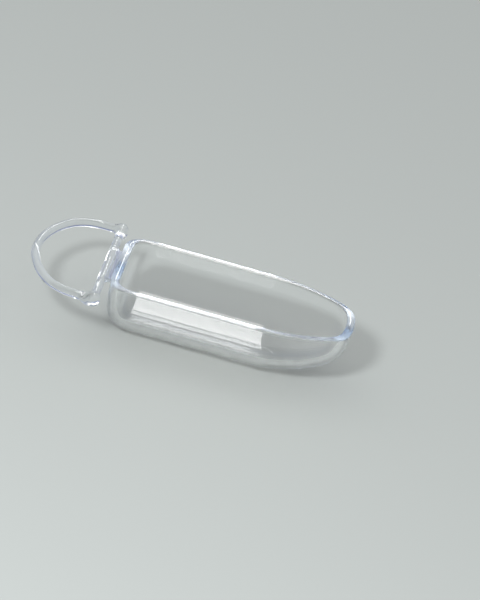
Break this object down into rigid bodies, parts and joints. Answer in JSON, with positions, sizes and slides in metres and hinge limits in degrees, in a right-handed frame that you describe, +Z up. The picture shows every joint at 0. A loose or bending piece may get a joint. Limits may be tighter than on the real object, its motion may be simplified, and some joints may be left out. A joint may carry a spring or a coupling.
{
  "type": "glass sample boat",
  "caption": "Clear glass sample boat: an open half-tube trough with one flat and one domed end, and a D-shaped rod handle fused across the flat end for lifting or pulling it.",
  "frame": {"origin": "on the surface that the keel rests on, under the middle of the whole length and width", "axes": "+X along the trough towards the domed end, +Y across it, +Z up out of the open rim"},
  "size_m": [0.0764, 0.0414, 0.0147],
  "materials": {
    "trough_glass": "fire-polished clear glass",
    "rod_glass": "fire-polished clear glass rod"
  },
  "bodies": {
    "root": {"half_tube": "trough_glass", "domed_end": "trough_glass", "end_wall": "trough_glass", "bar_seam": "rod_glass", "cross_bar": "rod_glass", "handle_loop": "rod_glass", "near_bead": "rod_glass", "far_bead": "rod_glass"}
  },
  "joints": []
}
